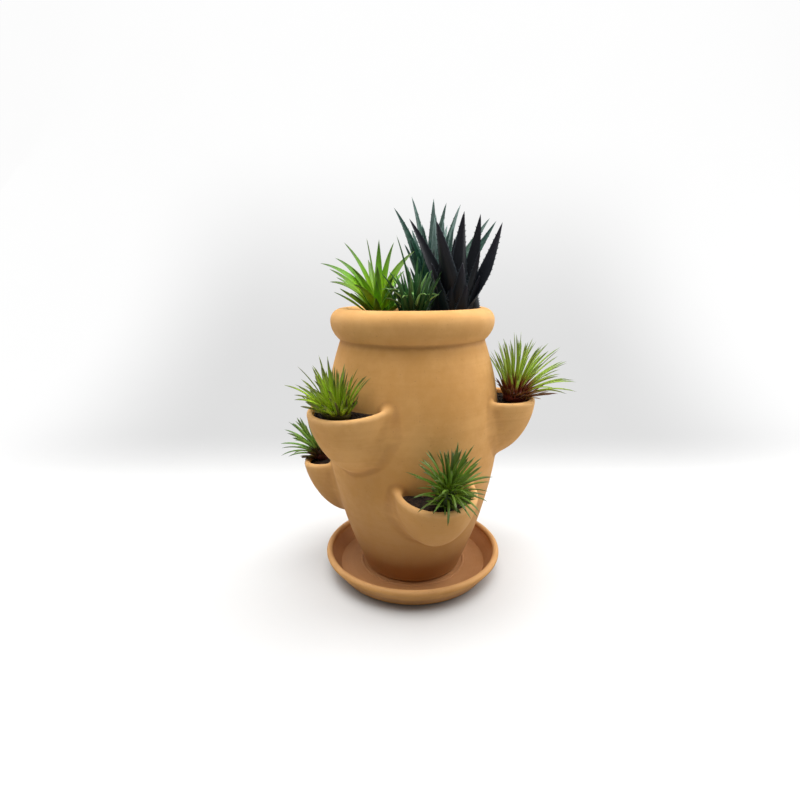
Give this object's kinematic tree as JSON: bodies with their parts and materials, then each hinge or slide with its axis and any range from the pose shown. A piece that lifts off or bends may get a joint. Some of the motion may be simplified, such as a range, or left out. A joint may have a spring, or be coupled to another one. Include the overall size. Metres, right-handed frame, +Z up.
{
  "type": "strawberry jar planter",
  "caption": "Rounded clay strawberry jar with a rolled collar, staggered side pockets, a round saucer and small artificial succulents in the mouth and pockets.",
  "frame": {"origin": "on the table under the middle of the saucer's flat underside", "axes": "+Z up along the jar's axis, -Y to the front that the picture shows, +X to its right"},
  "size_m": [0.3144, 0.2898, 0.3821],
  "materials": {
    "clay": "matte",
    "saucer_clay": "matte",
    "shard_clay": "matte",
    "potting_mix": "matte",
    "pick_plastic": "satin",
    "aloe_dark": "satin",
    "aloe_teal": "satin",
    "rosette_green": "satin",
    "sprig_green": "satin",
    "needle_green": "satin"
  },
  "bodies": {
    "saucer": {"saucer": "saucer_clay"},
    "jar": {"jar_body": "clay", "drain_shard": "shard_clay", "mix_core": "potting_mix", "pocket_upper_left": "clay", "pocket_upper_right": "clay", "pocket_upper_back": "clay", "pocket_lower_front": "clay", "pocket_lower_back": "clay", "pocket_lower_left": "clay", "mix_upper_left": "potting_mix", "mix_upper_right": "potting_mix", "mix_upper_back": "potting_mix", "mix_lower_front": "potting_mix", "mix_lower_back": "potting_mix", "mix_lower_left": "potting_mix"},
    "plant_upper_left": {"pick_upper_left": "pick_plastic", "tuft_upper_left": "needle_green"},
    "plant_upper_right": {"pick_upper_right": "pick_plastic", "tuft_upper_right": "needle_green"},
    "plant_upper_back": {"pick_upper_back": "pick_plastic", "tuft_upper_back": "needle_green"},
    "plant_lower_front": {"pick_lower_front": "pick_plastic", "tuft_lower_front": "needle_green"},
    "plant_lower_back": {"pick_lower_back": "pick_plastic", "tuft_lower_back": "needle_green"},
    "plant_lower_left": {"pick_lower_left": "pick_plastic", "tuft_lower_left": "needle_green"},
    "plant_aloe_dark": {"pick_aloe_dark": "pick_plastic", "aloe_dark": "aloe_dark"},
    "plant_aloe_teal": {"pick_aloe_teal": "pick_plastic", "aloe_teal": "aloe_teal"},
    "plant_rosette_green": {"pick_rosette_green": "pick_plastic", "rosette_green": "rosette_green"},
    "plant_sprig_fine": {"pick_sprig_fine": "pick_plastic", "sprig_fine": "sprig_green"}
  },
  "joints": [
    {"name": "jar_lift", "type": "slide", "parent": "saucer", "child": "jar", "axis": [0, 0, 1], "range_m": [0, 0.06]},
    {"name": "pull_upper_left", "type": "slide", "parent": "jar", "child": "plant_upper_left", "axis": [-0.0686, -0.0789, 0.9945], "range_m": [0, 0.03]},
    {"name": "pull_upper_right", "type": "slide", "parent": "jar", "child": "plant_upper_right", "axis": [0.2071, -0.0181, 0.9781], "range_m": [0, 0.03]},
    {"name": "pull_upper_back", "type": "slide", "parent": "jar", "child": "plant_upper_back", "axis": [-0.0734, 0.1574, 0.9848], "range_m": [0, 0.03]},
    {"name": "pull_lower_front", "type": "slide", "parent": "jar", "child": "plant_lower_front", "axis": [0.1053, -0.3929, 0.9135], "range_m": [0, 0.03]},
    {"name": "pull_lower_back", "type": "slide", "parent": "jar", "child": "plant_lower_back", "axis": [0.3045, 0.3153, 0.8988], "range_m": [0, 0.03]},
    {"name": "pull_lower_left", "type": "slide", "parent": "jar", "child": "plant_lower_left", "axis": [-0.674, 0.1681, 0.7193], "range_m": [0, 0.03]},
    {"name": "pull_aloe_dark", "type": "slide", "parent": "jar", "child": "plant_aloe_dark", "axis": [0, 0, 1], "range_m": [0, 0.04]},
    {"name": "pull_aloe_teal", "type": "slide", "parent": "jar", "child": "plant_aloe_teal", "axis": [0, 0, 1], "range_m": [0, 0.04]},
    {"name": "pull_rosette_green", "type": "slide", "parent": "jar", "child": "plant_rosette_green", "axis": [0, 0, 1], "range_m": [0, 0.04]},
    {"name": "pull_sprig_fine", "type": "slide", "parent": "jar", "child": "plant_sprig_fine", "axis": [0, 0, 1], "range_m": [0, 0.04]}
  ]
}
